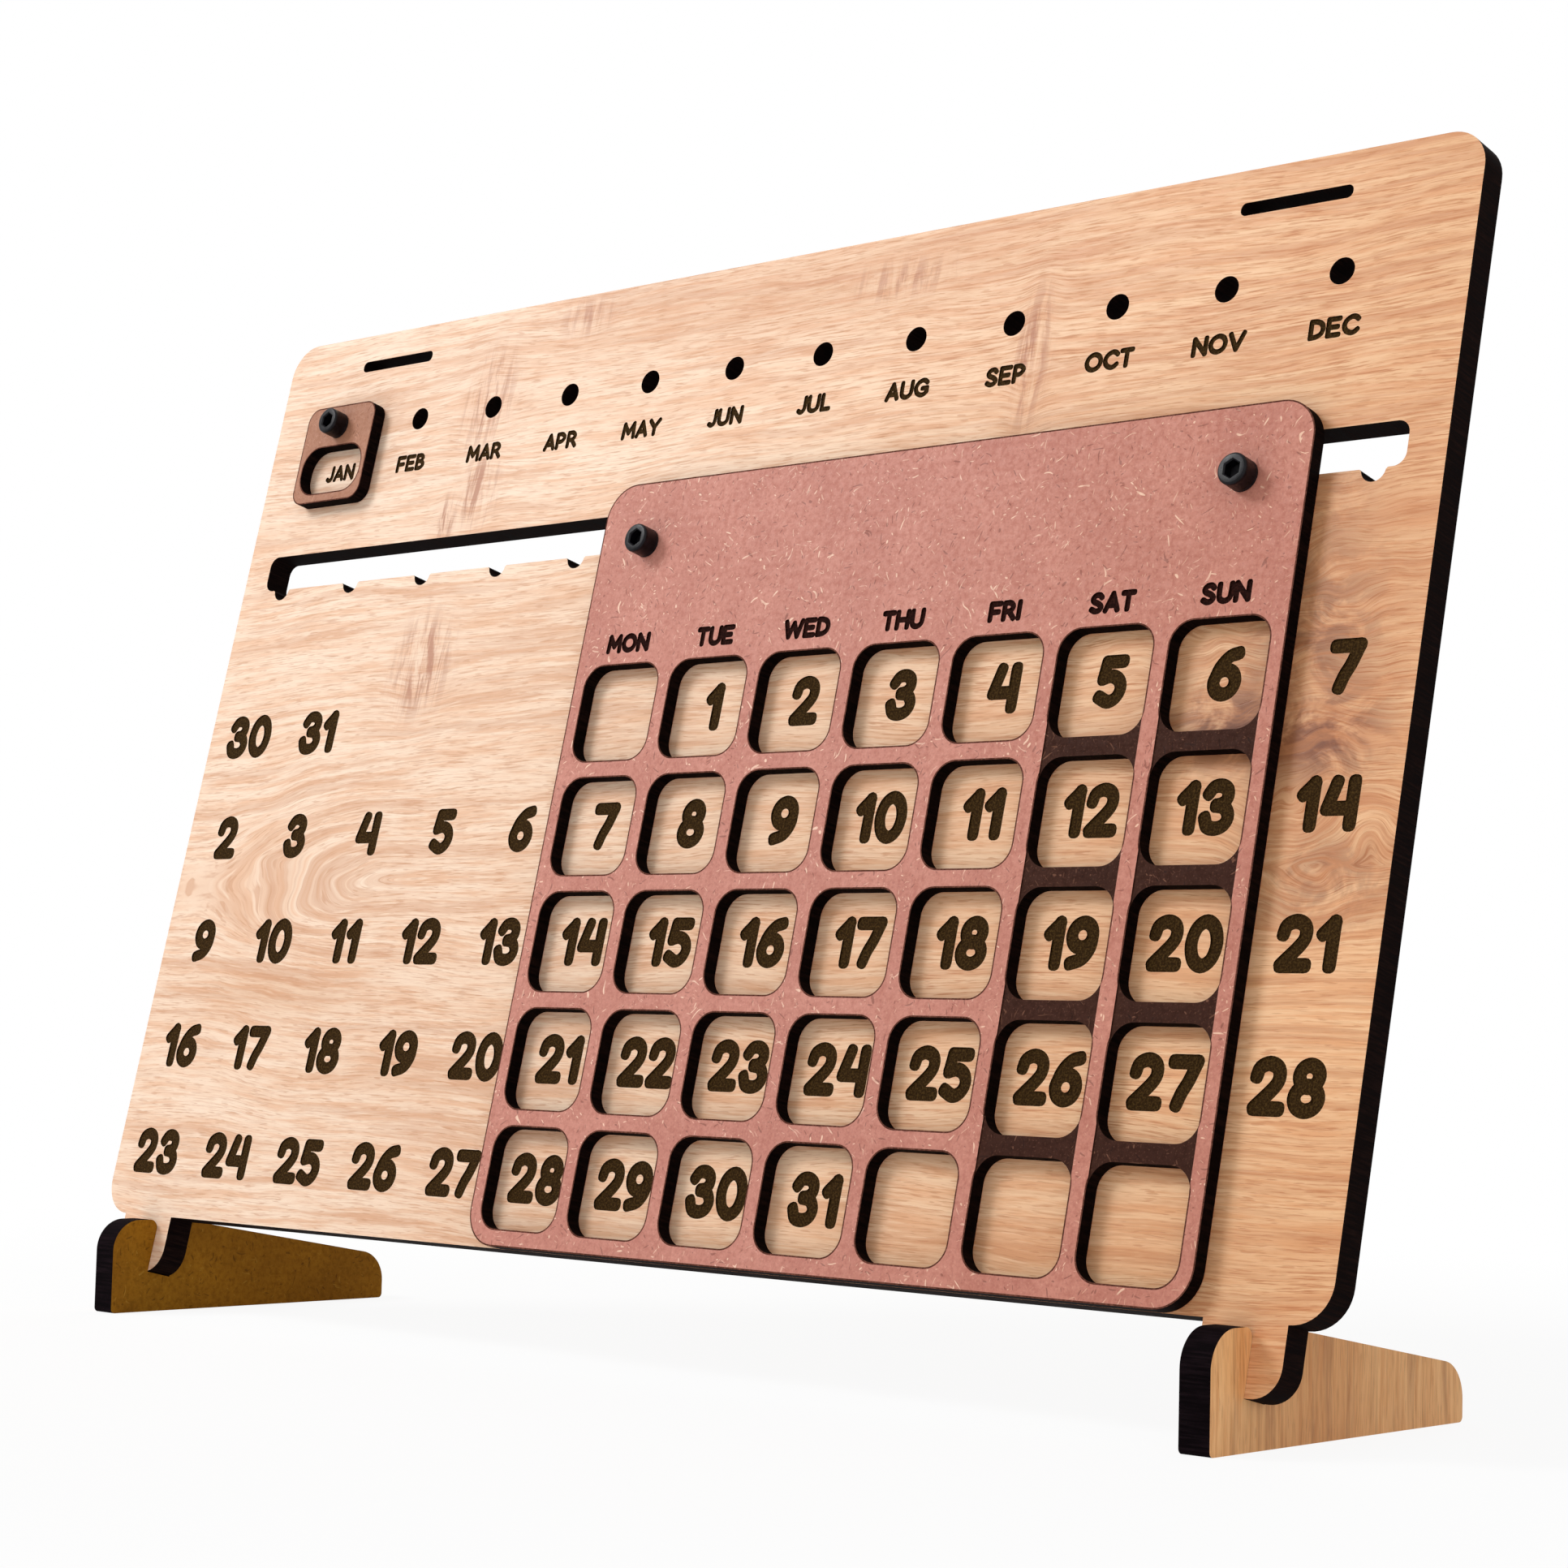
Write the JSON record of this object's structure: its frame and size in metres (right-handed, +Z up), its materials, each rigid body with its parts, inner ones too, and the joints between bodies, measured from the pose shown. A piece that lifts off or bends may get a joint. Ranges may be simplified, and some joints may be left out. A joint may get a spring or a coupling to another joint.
{
  "type": "perpetual desk calendar",
  "caption": "Leaning board calendar on slotted feet, with a notched sliding week frame that shows one month of a day grid, and a plug-in month tag.",
  "frame": {"origin": "on the table, midway between the feet and midway along their length", "axes": "+X to the reader's right along the board, +Y away from the reader, +Z up"},
  "size_m": [0.322, 0.077, 0.2245],
  "materials": {
    "oak_faced_board": "oak-faced fibreboard, satin, with burnt laser-cut edges",
    "oak_faced_foot": "oak-faced fibreboard, satin, with burnt laser-cut edges",
    "plain_fibreboard": "bare reddish fibreboard with burnt laser-cut edges",
    "black_oxide_steel": "black oxide, satin",
    "zinc_steel": "bright zinc plate"
  },
  "bodies": {
    "board": {"base_panel": "oak_faced_board"},
    "left_foot": {"left_foot": "oak_faced_foot"},
    "right_foot": {"right_foot": "oak_faced_foot"},
    "week_frame": {"week_frame": "plain_fibreboard", "week_screw_left": "black_oxide_steel", "week_screw_right": "black_oxide_steel", "week_washer_left": "zinc_steel", "week_washer_right": "zinc_steel", "week_nut_left": "zinc_steel", "week_nut_right": "zinc_steel"},
    "month_screw": {"month_screw": "black_oxide_steel"},
    "month_tag": {"month_marker": "plain_fibreboard"}
  },
  "joints": [
    {"name": "week_frame_slide", "type": "slide", "parent": "board", "child": "week_frame", "axis": [1, 0, 0], "range_m": [-0.1225, 0.0245]},
    {"name": "month_tag_pull", "type": "slide", "parent": "board", "child": "month_screw", "axis": [0, -0.9751, 0.2215], "range_m": [0, 0.01]},
    {"name": "month_tag_swing", "type": "hinge", "parent": "month_screw", "child": "month_tag", "pos_m": [-0.13475, 0.01466, 0.20129], "axis": [0, -0.9751, 0.2215], "continuous": true},
    {"name": "left_foot_pull", "type": "slide", "parent": "board", "child": "left_foot", "axis": [0, -0.2215, -0.9751], "range_m": [0, 0.014]},
    {"name": "right_foot_pull", "type": "slide", "parent": "board", "child": "right_foot", "axis": [0, -0.2215, -0.9751], "range_m": [0, 0.014]}
  ]
}
